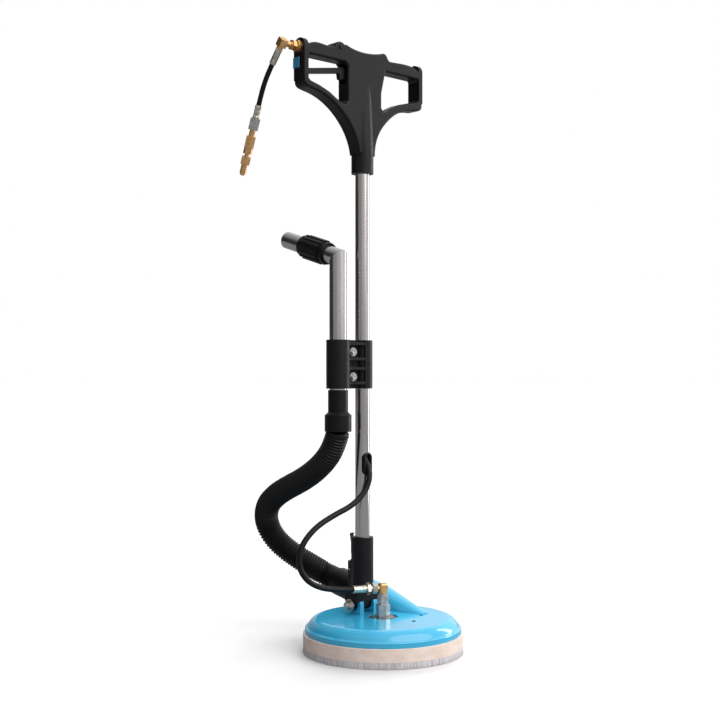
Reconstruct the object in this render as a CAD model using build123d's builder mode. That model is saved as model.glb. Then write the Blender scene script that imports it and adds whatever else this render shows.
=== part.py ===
from build123d import *
from math import cos, pi, radians, sin, tan
import os

os.makedirs("parts", exist_ok=True)

# Head: a round hood on a brush ring. The swivel axis is x = y = 0 and the floor is z = 0.
BAND_R = 175.0
BAND_IN = 167.2
BRISTLE_TOP = 14.0
BAND_TOP = 42.0
LIP_R = 171.0
DOME_TOP = 75.0
DOME_WALL = 4.0
HOLE_R = 33.0
SWIVEL_AXIS_Z = 137.5

# Hinge between the hood and the pole
POLE_Y = 66.0
HINGE_Z = 95.0
BOLT_R = 6.0
EAR_X = 20.5
EAR_T = 11.0
EAR_R = 21.0
LUG_R = 13.0

# Pole and vacuum tube
POLE_R = 16.0
POLE_WALL = 1.5
POLE_BOTTOM = 132.0
POLE_TOP = 1106.0
SOCKET_R = 24.5
SOCKET_TOP = 243.6
SOCKET_BOTTOM = 122.0
TUBE_X = -73.0
TUBE_R = 19.05
TUBE_WALL = 1.5
TUBE_BOTTOM = 500.0
MITRE_Z = 862.0
TUBE_RISE = 16.5
UPPER_LEG = 181.0

# Vacuum port and hoses
PORT_X = 84.0
PORT_RISE = 11.0
PORT_R = 38.0
CUFF_R = 33.0
CUFF_END_Y = 236.0
CUFF_END_Z = 113.4
HOSE_R = 28.0
FEED_R = 6.25

# Handle: two half shells that meet on the plane y = POLE_Y
HANDLE_HALF = 18.0
LEFT_X = -184.0
RIGHT_X = 174.0
POST_T = 11.0
POST_DOME_Z = 1304.0
GRIP_TOP = 1315.0
GRIP_BOTTOM = 1287.0
HANDLE_SOCKET_R = 24.75
HANDLE_SOCKET_BOTTOM = 1052.0
PIVOT_X, PIVOT_Z = -42.0, 1272.0
STEM_X = PIVOT_X + 10.0
INLET_Z = 1302.0
ELBOW_X = -231.0

FRONT_PLANE = Plane(origin=(0, POLE_Y, 0), x_dir=(1, 0, 0), z_dir=(0, -1, 0))
port_dir = Vector(0, cos(radians(PORT_RISE)), sin(radians(PORT_RISE)))
tube_dir = Vector(0, cos(radians(TUBE_RISE)), sin(radians(TUBE_RISE)))
feed_dir = Vector(-0.898, 0.44, 0).normalized()


def along_y(y, x=0.0, z=0.0):
    """A sketch plane at y that faces -Y, with its own x along +X and its own y along +Z."""
    return Plane(origin=(x, y, z), x_dir=(1, 0, 0), z_dir=(0, -1, 0))


def along_x(x, y=0.0, z=0.0):
    """A sketch plane at x that faces +X, with its own x along +Y and its own y along +Z."""
    return Plane(origin=(x, y, z), x_dir=(0, 1, 0), z_dir=(1, 0, 0))


def across(point, direction, roll=(1, 0, 0)):
    """A sketch plane at a point, square to a direction."""
    return Plane(origin=point, x_dir=roll, z_dir=direction)


def bend_radii(points, share=0.45):
    """The largest even radius each corner of a path can take, and the turn there."""
    radii = []
    for a, b, c in zip(points, points[1:], points[2:]):
        one = Vector(*b) - Vector(*a)
        two = Vector(*c) - Vector(*b)
        turn = one.get_angle(two)
        radii.append(share * min(one.length, two.length) / tan(radians(turn / 2)))
    return radii


def tell_sweep(name, part, path, radius):
    length = path.wires()[0].length
    print(name, "length", round(length, 1), "volume ratio", round(part.volume / (length * pi * radius**2), 4))


def save(part, label):
    part.label = label
    export_step(part, "parts/" + label + ".step")


# ---------------------------------------------------------------- head shell
port_rear_y = 132.0
port_rear_z = CUFF_END_Z + (port_rear_y - CUFF_END_Y) * tan(radians(PORT_RISE))
port_rear = Vector(PORT_X, port_rear_y, port_rear_z)

with BuildPart() as head_shell:
    with BuildSketch(Plane.XZ):
        with BuildLine():
            Polyline((HOLE_R, DOME_TOP), (143, DOME_TOP))
            Spline((143, DOME_TOP), (156, 69.5), (165, 57), tangents=((1, -0.05), (0.45, -1)))
            Polyline(
                (165, 57), (166.5, 55), (LIP_R - 1.0, 53.6), (LIP_R, 52.4), (LIP_R, 44.2),
                (LIP_R - 1.0, BAND_TOP), (BAND_IN, BAND_TOP), (BAND_IN, 26),
                (163, 26), (163, 50),
            )
            Spline((163, 50), (152, 66.0), (141, 71), tangents=((-0.35, 1), (-1, 0.1)))
            Polyline((141, 71), (HOLE_R, 71), (HOLE_R, DOME_TOP))
        make_face()
    revolve(axis=Axis.Z)
    # vacuum fairing: a cone that grows towards the rear and turns into a round port
    with BuildSketch(along_y(-44, PORT_X + 3, 60)):
        Ellipse(19, 18)
    with BuildSketch(along_y(86, PORT_X, 84.5)):
        Ellipse(PORT_R - 0.6, PORT_R - 0.6)
    loft(ruled=True)
    with BuildSketch(along_y(86, PORT_X, 84.5)):
        Ellipse(PORT_R - 0.6, PORT_R - 0.6)
    with BuildSketch(along_y(port_rear_y, PORT_X, port_rear_z)):
        Circle(PORT_R)
    loft(ruled=True)
    # hinge ears
    for side in (-1, 1):
        with BuildSketch(along_x(side * EAR_X - EAR_T / 2, POLE_Y, HINGE_Z)):
            Circle(EAR_R)
            with Locations((-4, -13)):
                Rectangle(2 * EAR_R - 8, 26)
        extrude(amount=EAR_T)
    # hollow chamber under the dome
    with BuildSketch(Plane.XZ):
        with BuildLine():
            Polyline((0, 20), (163, 20), (163, 50))
            Spline((163, 50), (152, 66.0), (141, 71), tangents=((-0.35, 1), (-1, 0.1)))
            Polyline((141, 71), (0, 71), (0, 20))
        make_face()
    revolve(axis=Axis.Z, mode=Mode.SUBTRACT)
    # port bore into the chamber
    with BuildSketch(across(port_rear - port_dir * 42, port_dir)):
        Circle(CUFF_R + 0.2)
    extrude(amount=90, mode=Mode.SUBTRACT)
    with Locations((0, 0, DOME_TOP - 10)):
        Cylinder(HOLE_R, 20, mode=Mode.SUBTRACT)
    with BuildSketch(along_x(-40, POLE_Y, HINGE_Z)):
        Circle(BOLT_R + 0.05)
    extrude(amount=80, mode=Mode.SUBTRACT)
    with Locations((13, -82, DOME_TOP - 5), (72, -47, DOME_TOP - 5)):
        Cylinder(2.4, 12, mode=Mode.SUBTRACT)
save(head_shell.part, "head_shell")

with BuildPart() as dome_rivets:
    with Locations((13, -82, DOME_TOP - 5), (72, -47, DOME_TOP - 5)):
        Cylinder(2.35, 5, align=(Align.CENTER, Align.CENTER, Align.MIN))
    with Locations((13, -82, DOME_TOP), (72, -47, DOME_TOP)):
        Cylinder(4.0, 1.0, align=(Align.CENTER, Align.CENTER, Align.MIN))
save(dome_rivets.part, "dome_rivets")

with BuildPart() as brush_band:
    with BuildSketch(Plane.XY.offset(BRISTLE_TOP)):
        Circle(BAND_R)
        Circle(BAND_IN, mode=Mode.SUBTRACT)
    extrude(amount=BAND_TOP - BRISTLE_TOP)
    fillet(brush_band.edges().filter_by(GeomType.CIRCLE).group_by(Axis.Z)[-1], 0.8)
save(brush_band.part, "brush_band")

with BuildPart() as bristles:
    with BuildSketch(Plane.XZ):
        Polygon(
            (BAND_IN + 0.5, BRISTLE_TOP), (BAND_R - 0.4, BRISTLE_TOP), (BAND_R + 1.2, 0), (BAND_IN, 0),
            align=None,
        )
    revolve(axis=Axis.Z)
save(bristles.part, "bristles")

# ---------------------------------------------------------------- swivel and rotor
with BuildPart() as swivel_flange:
    with Locations((0, 0, 65)):
        Cylinder(46, 6, align=(Align.CENTER, Align.CENTER, Align.MIN))
    with Locations((0, 0, 71)):
        Cylinder(HOLE_R - 0.3, 1.5, align=(Align.CENTER, Align.CENTER, Align.MIN))
    with Locations((0, 0, 65)):
        Cylinder(12.0, 8, align=(Align.CENTER, Align.CENTER, Align.MIN), mode=Mode.SUBTRACT)
    with Locations((0, 0, 65)):
        with PolarLocations(25, 4, start_angle=0):
            Cylinder(2.6, 8, align=(Align.CENTER, Align.CENTER, Align.MIN), mode=Mode.SUBTRACT)
save(swivel_flange.part, "swivel_flange")

with BuildPart() as flange_screws:
    with Locations((0, 0, 50)):
        with PolarLocations(25, 4):
            Cylinder(2.5, 22.5, align=(Align.CENTER, Align.CENTER, Align.MIN))
    with Locations((0, 0, 72.5)):
        with PolarLocations(25, 4):
            Cylinder(4.6, 2.8, align=(Align.CENTER, Align.CENTER, Align.MIN))
    with BuildSketch(Plane.XY.offset(73.6)):
        with PolarLocations(25, 4):
            RegularPolygon(2.2, 6)
    extrude(amount=3, mode=Mode.SUBTRACT)
save(flange_screws.part, "flange_screws")

with BuildPart() as bearing_housing:
    with Locations((0, 0, 43)):
        Cylinder(34, 22, align=(Align.CENTER, Align.CENTER, Align.MIN))
    chamfer(bearing_housing.edges().group_by(Axis.Z)[0], 2)
    with Locations((0, 0, 43)):
        Cylinder(13, 22, align=(Align.CENTER, Align.CENTER, Align.MIN), mode=Mode.SUBTRACT)
    with Locations((0, 0, 49)):
        with PolarLocations(25, 4):
            Cylinder(2.5, 16, align=(Align.CENTER, Align.CENTER, Align.MIN), mode=Mode.SUBTRACT)
save(bearing_housing.part, "bearing_housing")

with BuildPart() as shaft_bearings:
    for height in (44, 54.5):
        with Locations((0, 0, height)):
            Cylinder(13, 8, align=(Align.CENTER, Align.CENTER, Align.MIN))
            Cylinder(6.05, 8, align=(Align.CENTER, Align.CENTER, Align.MIN), mode=Mode.SUBTRACT)
save(shaft_bearings.part, "shaft_bearings")

with BuildPart() as swivel_body:
    with Locations((0, 0, 63)):
        Cylinder(12.0, 10, align=(Align.CENTER, Align.CENTER, Align.MIN))
    with BuildSketch(Plane.XY.offset(73)):
        RegularPolygon(13.6, 6, major_radius=False, rotation=12)
    extrude(amount=29)
    with BuildSketch(Plane.XY.offset(102)):
        RegularPolygon(10.6, 6, major_radius=False, rotation=28)
    extrude(amount=20)
    with Locations((0, 0, 122)):
        Cylinder(9.2, 3.6, align=(Align.CENTER, Align.CENTER, Align.MIN))
    with Locations((0, 0, 62)):
        Cylinder(6.05, 38, align=(Align.CENTER, Align.CENTER, Align.MIN), mode=Mode.SUBTRACT)
    with Locations((0, 0, 99)):
        Cylinder(3.0, 30, align=(Align.CENTER, Align.CENTER, Align.MIN), mode=Mode.SUBTRACT)
save(swivel_body.part, "swivel_body")

with BuildPart() as swivel_shaft:
    with Locations((0, 0, 20)):
        Cylinder(6.0, 78, align=(Align.CENTER, Align.CENTER, Align.MIN))
    with Locations((0, 0, 30)):
        Cylinder(2.5, 80, align=(Align.CENTER, Align.CENTER, Align.MIN), mode=Mode.SUBTRACT)
save(swivel_shaft.part, "swivel_shaft")

with BuildPart() as rotor_hub:
    with Locations((0, 0, 24)):
        Cylinder(19, 16, align=(Align.CENTER, Align.CENTER, Align.MIN))
    chamfer(rotor_hub.edges().filter_by(GeomType.CIRCLE), 1.5)
    with Locations((0, 0, 20)):
        Cylinder(6.0, 30, align=(Align.CENTER, Align.CENTER, Align.MIN), mode=Mode.SUBTRACT)
    for side in (0, 180):
        with BuildSketch(along_x(0, 0, 32)):
            Circle(6.4)
        extrude(amount=30 if side == 0 else -30, mode=Mode.SUBTRACT)
    with Locations((0, 0, 24)):
        Cylinder(10, 16, align=(Align.CENTER, Align.CENTER, Align.MIN))
        Cylinder(6.0, 16, align=(Align.CENTER, Align.CENTER, Align.MIN), mode=Mode.SUBTRACT)
save(rotor_hub.part, "rotor_hub")

ARM_TIP = 138.0
NOZZLE_RADII = (78.0, 126.0)
with BuildPart() as spray_arms:
    for side in (-1, 1):
        with BuildSketch(along_x(side * 10.2, 0, 32)):
            Circle(6.35)
        extrude(amount=side * (ARM_TIP - 10.2))
        with BuildSketch(along_x(side * 10.2, 0, 32)):
            Circle(4.8)
        extrude(amount=side * (ARM_TIP - 14.2), mode=Mode.SUBTRACT)
    for radius in NOZZLE_RADII:
        with Locations((radius, 0, 20), (-radius, 0, 20)):
            Cylinder(2.6, 10, align=(Align.CENTER, Align.CENTER, Align.MIN), mode=Mode.SUBTRACT)
save(spray_arms.part, "spray_arms")

with BuildPart() as spray_nozzles:
    for radius in NOZZLE_RADII:
        with BuildSketch(Plane.XY.offset(14)):
            with Locations((radius, 0), (-radius, 0)):
                RegularPolygon(5.5, 6, major_radius=False)
        extrude(amount=10)
        with Locations((radius, 0, 23), (-radius, 0, 23)):
            Cylinder(2.6, 5, align=(Align.CENTER, Align.CENTER, Align.MIN))
        with Locations((radius, 0, 14), (-radius, 0, 14)):
            Cylinder(0.8, 16, align=(Align.CENTER, Align.CENTER, Align.MIN), mode=Mode.SUBTRACT)
save(spray_nozzles.part, "spray_nozzles")

with BuildPart() as rotor_nut:
    with BuildSketch(Plane.XY.offset(17)):
        RegularPolygon(9.5, 6, major_radius=False)
        Circle(6.0, mode=Mode.SUBTRACT)
    extrude(amount=7)
save(rotor_nut.part, "rotor_nut")

# ---------------------------------------------------------------- fittings on the swivel
with BuildPart() as swivel_elbow:
    with Locations((0, 0, 125.6)):
        Cylinder(5.0, 6, align=(Align.CENTER, Align.CENTER, Align.MIN))
    with BuildSketch(Plane((0, 0, 128), x_dir=feed_dir)):
        RectangleRounded(18.5, 18.0, 5.0)
    extrude(amount=20)
    fillet(swivel_elbow.edges().group_by(Axis.Z)[-1], 4.0)
    with BuildSketch(across(feed_dir * 8 + Vector(0, 0, SWIVEL_AXIS_Z), feed_dir, (0, 0, 1))):
        Circle(5.4)
    extrude(amount=6)
save(swivel_elbow.part, "swivel_elbow")

with BuildPart() as hose_nut:
    with BuildSketch(across(feed_dir * 14 + Vector(0, 0, SWIVEL_AXIS_Z), feed_dir, (0, 0, 1))):
        RegularPolygon(10.5, 6, major_radius=False)
    extrude(amount=11)
    chamfer(hose_nut.edges().group_by(SortBy.LENGTH)[-1], 0.6)
save(hose_nut.part, "hose_nut")

with BuildPart() as hose_stem:
    with BuildSketch(across(feed_dir * 25 + Vector(0, 0, SWIVEL_AXIS_Z), feed_dir, (0, 0, 1))):
        Circle(7.0)
    extrude(amount=6)
    with BuildSketch(across(feed_dir * 31 + Vector(0, 0, SWIVEL_AXIS_Z), feed_dir, (0, 0, 1))):
        RegularPolygon(12.3, 6, major_radius=False, rotation=15)
    extrude(amount=6)
    with BuildSketch(across(feed_dir * 37 + Vector(0, 0, SWIVEL_AXIS_Z), feed_dir, (0, 0, 1))):
        Circle(8.0)
    extrude(amount=3)
save(hose_stem.part, "hose_stem")

FERRULE_END = 68.6
with BuildPart() as hose_ferrule:
    with BuildSketch(across(feed_dir * 40 + Vector(0, 0, SWIVEL_AXIS_Z), feed_dir, (0, 0, 1))):
        Circle(8.8)
    extrude(amount=FERRULE_END - 40)
    fillet(hose_ferrule.edges().filter_by(GeomType.CIRCLE), 1.0)
save(hose_ferrule.part, "hose_ferrule")

# ---------------------------------------------------------------- yoke, hinge bolt and latch
with BuildPart() as yoke_socket:
    with Locations((0, POLE_Y, SOCKET_BOTTOM)):
        Cylinder(SOCKET_R, SOCKET_TOP - SOCKET_BOTTOM, align=(Align.CENTER, Align.CENTER, Align.MIN))
    fillet(yoke_socket.edges().group_by(Axis.Z)[-1], 1.5)
    with BuildSketch(Plane.XY.offset(103)):
        with Locations((0, POLE_Y)):
            RectangleRounded(76, 40, 5)
    extrude(amount=26)
    fillet(yoke_socket.faces().filter_by(Plane.XY).filter_by(lambda f: abs(f.center().Z - 129) < 0.1).edges(), 2)
    with BuildSketch(along_x(-38, POLE_Y, HINGE_Z)):
        Circle(LUG_R)
        with Locations((0, 6)):
            Rectangle(2 * LUG_R, 12)
    extrude(amount=76)
    # slots that the two ears of the hood turn in
    for side in (-1, 1):
        with BuildSketch(along_x(side * EAR_X - EAR_T / 2 - 0.6, POLE_Y, HINGE_Z)):
            Circle(EAR_R + 0.9)
            with Locations((0, -20)):
                Rectangle(2 * EAR_R + 1.8, 40)
        extrude(amount=EAR_T + 1.2, mode=Mode.SUBTRACT)
    with BuildSketch(along_x(-40, POLE_Y, HINGE_Z)):
        Circle(BOLT_R)
    extrude(amount=80, mode=Mode.SUBTRACT)
    with Locations((0, POLE_Y, POLE_BOTTOM)):
        Cylinder(POLE_R, 130, align=(Align.CENTER, Align.CENTER, Align.MIN), mode=Mode.SUBTRACT)
save(yoke_socket.part, "yoke_socket")

with BuildPart() as hinge_bolt:
    with BuildSketch(along_x(-51, POLE_Y, HINGE_Z)):
        Circle(BOLT_R)
    extrude(amount=89.0)
    with BuildSketch(along_x(38, POLE_Y, HINGE_Z)):
        RegularPolygon(8.5, 6, major_radius=False)
    extrude(amount=4.5)
    chamfer(hinge_bolt.edges().group_by(Axis.X)[0], 1.0)
save(hinge_bolt.part, "hinge_bolt")

with BuildPart() as hinge_washer:
    with BuildSketch(along_x(-40, POLE_Y, HINGE_Z)):
        Circle(14)
        Circle(BOLT_R, mode=Mode.SUBTRACT)
    extrude(amount=2)
save(hinge_washer.part, "hinge_washer")

with BuildPart() as hinge_nut:
    with BuildSketch(along_x(-48, POLE_Y, HINGE_Z)):
        RegularPolygon(9.2, 6, major_radius=False, rotation=10)
        Circle(BOLT_R, mode=Mode.SUBTRACT)
    extrude(amount=8)
    with BuildSketch(along_x(-50.2, POLE_Y, HINGE_Z)):
        Circle(7.4)
        Circle(BOLT_R, mode=Mode.SUBTRACT)
    extrude(amount=2.2)
save(hinge_nut.part, "hinge_nut")

LATCH_Y = POLE_Y + 30.0
LATCH_Z = 168.0
with BuildPart() as latch_bracket:
    with Locations((0, POLE_Y + 20, 130)):
        Box(22, 10, 58, align=(Align.CENTER, Align.MIN, Align.MIN))
    for side in (-1, 1):
        with Locations((side * 9.5, POLE_Y + 20, 130)):
            Box(3, 16, 58, align=(Align.CENTER, Align.MIN, Align.MIN))
    with Locations((0, POLE_Y, 120)):
        Cylinder(SOCKET_R, 80, align=(Align.CENTER, Align.CENTER, Align.MIN), mode=Mode.SUBTRACT)
    with Locations((0, POLE_Y + 26.5, 130)):
        Box(16, 4, 58, align=(Align.CENTER, Align.MIN, Align.MIN), mode=Mode.SUBTRACT)
    with BuildSketch(along_x(-12, LATCH_Y + 1, LATCH_Z)):
        Circle(2.0)
    extrude(amount=24, mode=Mode.SUBTRACT)
save(latch_bracket.part, "latch_bracket")

with BuildPart() as latch_pin:
    with BuildSketch(along_x(-11, LATCH_Y + 1, LATCH_Z)):
        Circle(2.0)
    extrude(amount=22)
save(latch_pin.part, "latch_pin")

with BuildPart() as latch_lever:
    with BuildSketch(along_x(-7, LATCH_Y + 1, LATCH_Z)):
        Circle(4.2)
    extrude(amount=14)
    with BuildSketch(along_x(-7, 0, 0)):
        with BuildLine():
            Polyline(
                (LATCH_Y + 0.6, 136), (LATCH_Y + 2.6, 136), (LATCH_Y + 2.6, 190), (LATCH_Y + 0.6, 190),
                (LATCH_Y + 0.6, 136),
            )
        make_face()
    extrude(amount=14)
    with BuildSketch(along_x(-4, 0, 0)):
        Polygon(
            (LATCH_Y + 0.6, 188), (LATCH_Y + 2.6, 188), (LATCH_Y + 2.6, 206), (LATCH_Y + 0.6, 206), align=None
        )
    extrude(amount=8)
    with BuildSketch(along_x(-5, 0, 0)):
        Polygon(
            (LATCH_Y + 0.6, 203), (LATCH_Y + 2.6, 203), (LATCH_Y + 2.6, 228), (LATCH_Y + 4.6, 238),
            (LATCH_Y + 6.2, 244), (LATCH_Y + 5.4, 248.5), (LATCH_Y + 1.6, 249.5), (LATCH_Y + 1.2, 247.6),
            (LATCH_Y + 3.8, 246.8), (LATCH_Y + 4.2, 244), (LATCH_Y + 2.7, 238.6), (LATCH_Y + 0.6, 228.2),
            align=None,
        )
    extrude(amount=10)
    with BuildSketch(along_x(-8, LATCH_Y + 1, LATCH_Z)):
        Circle(2.05)
    extrude(amount=16, mode=Mode.SUBTRACT)
save(latch_lever.part, "latch_lever")

with BuildPart() as latch_spring:
    with BuildLine() as latch_coil:
        Helix(pitch=1.1, height=3.0, radius=2.8, center=(0, POLE_Y + 27.05, 146), direction=(0, 1, 0))
    with BuildSketch(across(latch_coil.line @ 0, latch_coil.line % 0, (0, 1, 0))):
        Circle(0.4)
    sweep(path=latch_coil.line, is_frenet=True)
save(latch_spring.part, "latch_spring")

# ---------------------------------------------------------------- pole and its hose slot
SLOT_Z = 406.0
HOSE_JOIN_Z = 480.0
with BuildPart() as pole:
    with Locations((0, POLE_Y, POLE_BOTTOM)):
        Cylinder(POLE_R, POLE_TOP - POLE_BOTTOM, align=(Align.CENTER, Align.CENTER, Align.MIN))
        Cylinder(
            POLE_R - POLE_WALL, POLE_TOP - POLE_BOTTOM, align=(Align.CENTER, Align.CENTER, Align.MIN),
            mode=Mode.SUBTRACT,
        )
    with BuildSketch(along_y(POLE_Y, 0, SLOT_Z)):
        SlotOverall(45.8, 15.4, rotation=90)
    extrude(amount=POLE_R + 5, mode=Mode.SUBTRACT)
save(pole.part, "pole")

with BuildPart() as pole_grommet:
    with BuildSketch(along_y(POLE_Y - 9, 0, SLOT_Z)):
        SlotOverall(52, 24, rotation=90)
    extrude(amount=POLE_R - 9 + 4)
    fillet(pole_grommet.edges().group_by(Axis.Y)[0], 2.0)
    with Locations((0, POLE_Y, SLOT_Z)):
        Cylinder(POLE_R, 80, mode=Mode.SUBTRACT)
    with BuildSketch(along_y(POLE_Y - 12, 0, SLOT_Z)):
        SlotOverall(45.6, 15.2, rotation=90)
    extrude(amount=POLE_R - 12 + 1)
    with BuildSketch(along_y(POLE_Y - 5, 0, SLOT_Z)):
        SlotOverall(44.4, 14.0, rotation=90)
    extrude(amount=POLE_R + 10, mode=Mode.SUBTRACT)
save(pole_grommet.part, "pole_grommet")

# water hose from the slot in the pole to the swivel; a run of straight lines and tangent arcs
ferrule_end = feed_dir * FERRULE_END + Vector(0, 0, SWIVEL_AXIS_Z)
feed_points = [
    (0, POLE_Y, HOSE_JOIN_Z), (0, POLE_Y, 429), (0, 38, 389), (-14, 38, 349), (-50, 44, 318),
    (-98, 52, 300), (-150, 58, 275), (-184, 64, 236), (-184, 68, 190), (-152, 66, 154),
    tuple(ferrule_end + feed_dir * 46), tuple(ferrule_end),
]
feed_radii = bend_radii(feed_points)
print("pressure hose radii", [round(r) for r in feed_radii])
with BuildPart() as pressure_hose:
    with BuildLine() as feed_path:
        FilletPolyline(*feed_points, radius=feed_radii)
    with BuildSketch(across(feed_path.line @ 0, feed_path.line % 0)):
        Circle(FEED_R)
    sweep(path=feed_path.line)
save(pressure_hose.part, "pressure_hose")
tell_sweep("pressure hose", pressure_hose.part, feed_path, FEED_R)

# water hose inside the pole, from the valve in the handle down to the slot
inner_points = [
    (STEM_X, POLE_Y, 1200), (STEM_X, POLE_Y, 1172), (0, POLE_Y, 1120), (0, POLE_Y, HOSE_JOIN_Z),
]
inner_radii = bend_radii(inner_points)
print("pole hose radii", [round(r) for r in inner_radii])
with BuildPart() as pole_water_hose:
    with BuildLine() as inner_path:
        FilletPolyline(*inner_points, radius=inner_radii)
    with BuildSketch(across(inner_path.line @ 0, inner_path.line % 0)):
        Circle(FEED_R)
    sweep(path=inner_path.line)
save(pole_water_hose.part, "pole_water_hose")
tell_sweep("pole water hose", pole_water_hose.part, inner_path, FEED_R)

# ---------------------------------------------------------------- vacuum side
with BuildPart() as port_cuff:
    cuff_end = Vector(PORT_X, CUFF_END_Y, CUFF_END_Z)
    with BuildSketch(across(cuff_end - port_dir * 146, port_dir)):
        Circle(CUFF_R)
    extrude(amount=146)
    fillet(port_cuff.edges().group_by(Axis.Y)[-1], 1.5)
    with BuildSketch(across(cuff_end - port_dir * 150, port_dir)):
        Circle(25)
    extrude(amount=160, mode=Mode.SUBTRACT)
    with BuildSketch(across(cuff_end - port_dir * 18, port_dir)):
        Circle(HOSE_R + 0.4)
    extrude(amount=30, mode=Mode.SUBTRACT)
    with BuildSketch(Plane.XY.offset(0)):
        Rectangle(400, 400)
    extrude(amount=47, mode=Mode.SUBTRACT)
save(port_cuff.part, "port_cuff")

hose_end = cuff_end - port_dir * 17.6
hose_turn = cuff_end + port_dir * 34
hose_points = [
    (TUBE_X, POLE_Y, 480), (TUBE_X, 80, 446), (-75, 104, 416), (-76, 142, 388), (-75, 186, 366),
    (-72, 236, 347), (-67, 286, 326), (-58, 333, 297), (-45, 355, 256), (-27, 343, 214),
    (0, 316, 181), (34, 290, 153),
    tuple(hose_turn), tuple(hose_end),
]
hose_radii = bend_radii(hose_points)
print("vacuum hose radii", [round(r) for r in hose_radii])
with BuildPart() as vacuum_hose:
    with BuildLine() as hose_path:
        FilletPolyline(*hose_points, radius=hose_radii)
    with BuildSketch(across(hose_path.line @ 0, hose_path.line % 0)):
        Circle(HOSE_R)
    sweep(path=hose_path.line)
save(vacuum_hose.part, "vacuum_hose")
tell_sweep("vacuum hose", vacuum_hose.part, hose_path, HOSE_R)

with BuildPart() as upper_cuff:
    with Locations((TUBE_X, POLE_Y, 517)):
        Cylinder(22, 54, align=(Align.CENTER, Align.CENTER, Align.MIN))
        Cone(28.0, 22, 6, align=(Align.CENTER, Align.CENTER, Align.MIN))
    with Locations((TUBE_X, POLE_Y, 480)):
        Cylinder(29.5, 37, align=(Align.CENTER, Align.CENTER, Align.MIN))
    fillet(upper_cuff.edges().filter_by(GeomType.CIRCLE).group_by(SortBy.RADIUS)[-1], 1.2)
    with Locations((TUBE_X, POLE_Y, 470)):
        Cylinder(17, 120, align=(Align.CENTER, Align.CENTER, Align.MIN), mode=Mode.SUBTRACT)
    with Locations((TUBE_X, POLE_Y, TUBE_BOTTOM)):
        Cylinder(TUBE_R, 120, align=(Align.CENTER, Align.CENTER, Align.MIN), mode=Mode.SUBTRACT)
    # seat for the hose, which leaves the cuff leaning to the rear
    with BuildSketch(across(hose_path.line @ 0, hose_path.line % 0)):
        Circle(HOSE_R + 0.1)
    extrude(amount=40, mode=Mode.SUBTRACT)
save(upper_cuff.part, "upper_cuff")

COLLAR_START, COLLAR_END = 33.0, 118.0
mitre = Vector(TUBE_X, POLE_Y, MITRE_Z)
upper_end = mitre + tube_dir * UPPER_LEG
with BuildPart() as vacuum_tube:
    with BuildLine() as tube_path:
        Polyline((TUBE_X, POLE_Y, TUBE_BOTTOM), (TUBE_X, POLE_Y, MITRE_Z), tuple(upper_end))
    with BuildSketch(Plane.XY.offset(TUBE_BOTTOM)):
        with Locations((TUBE_X, POLE_Y)):
            Circle(TUBE_R)
            Circle(TUBE_R - TUBE_WALL, mode=Mode.SUBTRACT)
    sweep(path=tube_path.line, transition=Transition.RIGHT)
    # two air-bleed holes under the collar
    for side in (-1, 1):
        with BuildSketch(across(mitre + tube_dir * 72, (side, 0, 0), (0, 1, 0))):
            Circle(4.5)
        extrude(amount=30, mode=Mode.SUBTRACT)
    # groove that marks where the hose cuff's free end of the tube begins
    with BuildSketch(across(mitre + tube_dir * COLLAR_END, tube_dir)):
        Circle(TUBE_R + 1)
        Circle(TUBE_R - 0.4, mode=Mode.SUBTRACT)
    extrude(amount=1.0, mode=Mode.SUBTRACT)
save(vacuum_tube.part, "vacuum_tube")

with BuildPart() as relief_collar:
    with BuildSketch(across(mitre + tube_dir * COLLAR_START, tube_dir)):
        Circle(24.3)
    extrude(amount=COLLAR_END - COLLAR_START)
    with BuildSketch(across(mitre + tube_dir * (COLLAR_START + 12), tube_dir)):
        Circle(25.4)
        with PolarLocations(25.6, 14):
            RectangleRounded(4.2, 5.0, 1.0)
    extrude(amount=COLLAR_END - COLLAR_START - 21)
    with BuildSketch(across(mitre + tube_dir * (COLLAR_START - 1), tube_dir)):
        Circle(TUBE_R + 0.08)
    extrude(amount=COLLAR_END - COLLAR_START + 2, mode=Mode.SUBTRACT)
save(relief_collar.part, "relief_collar")

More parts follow.
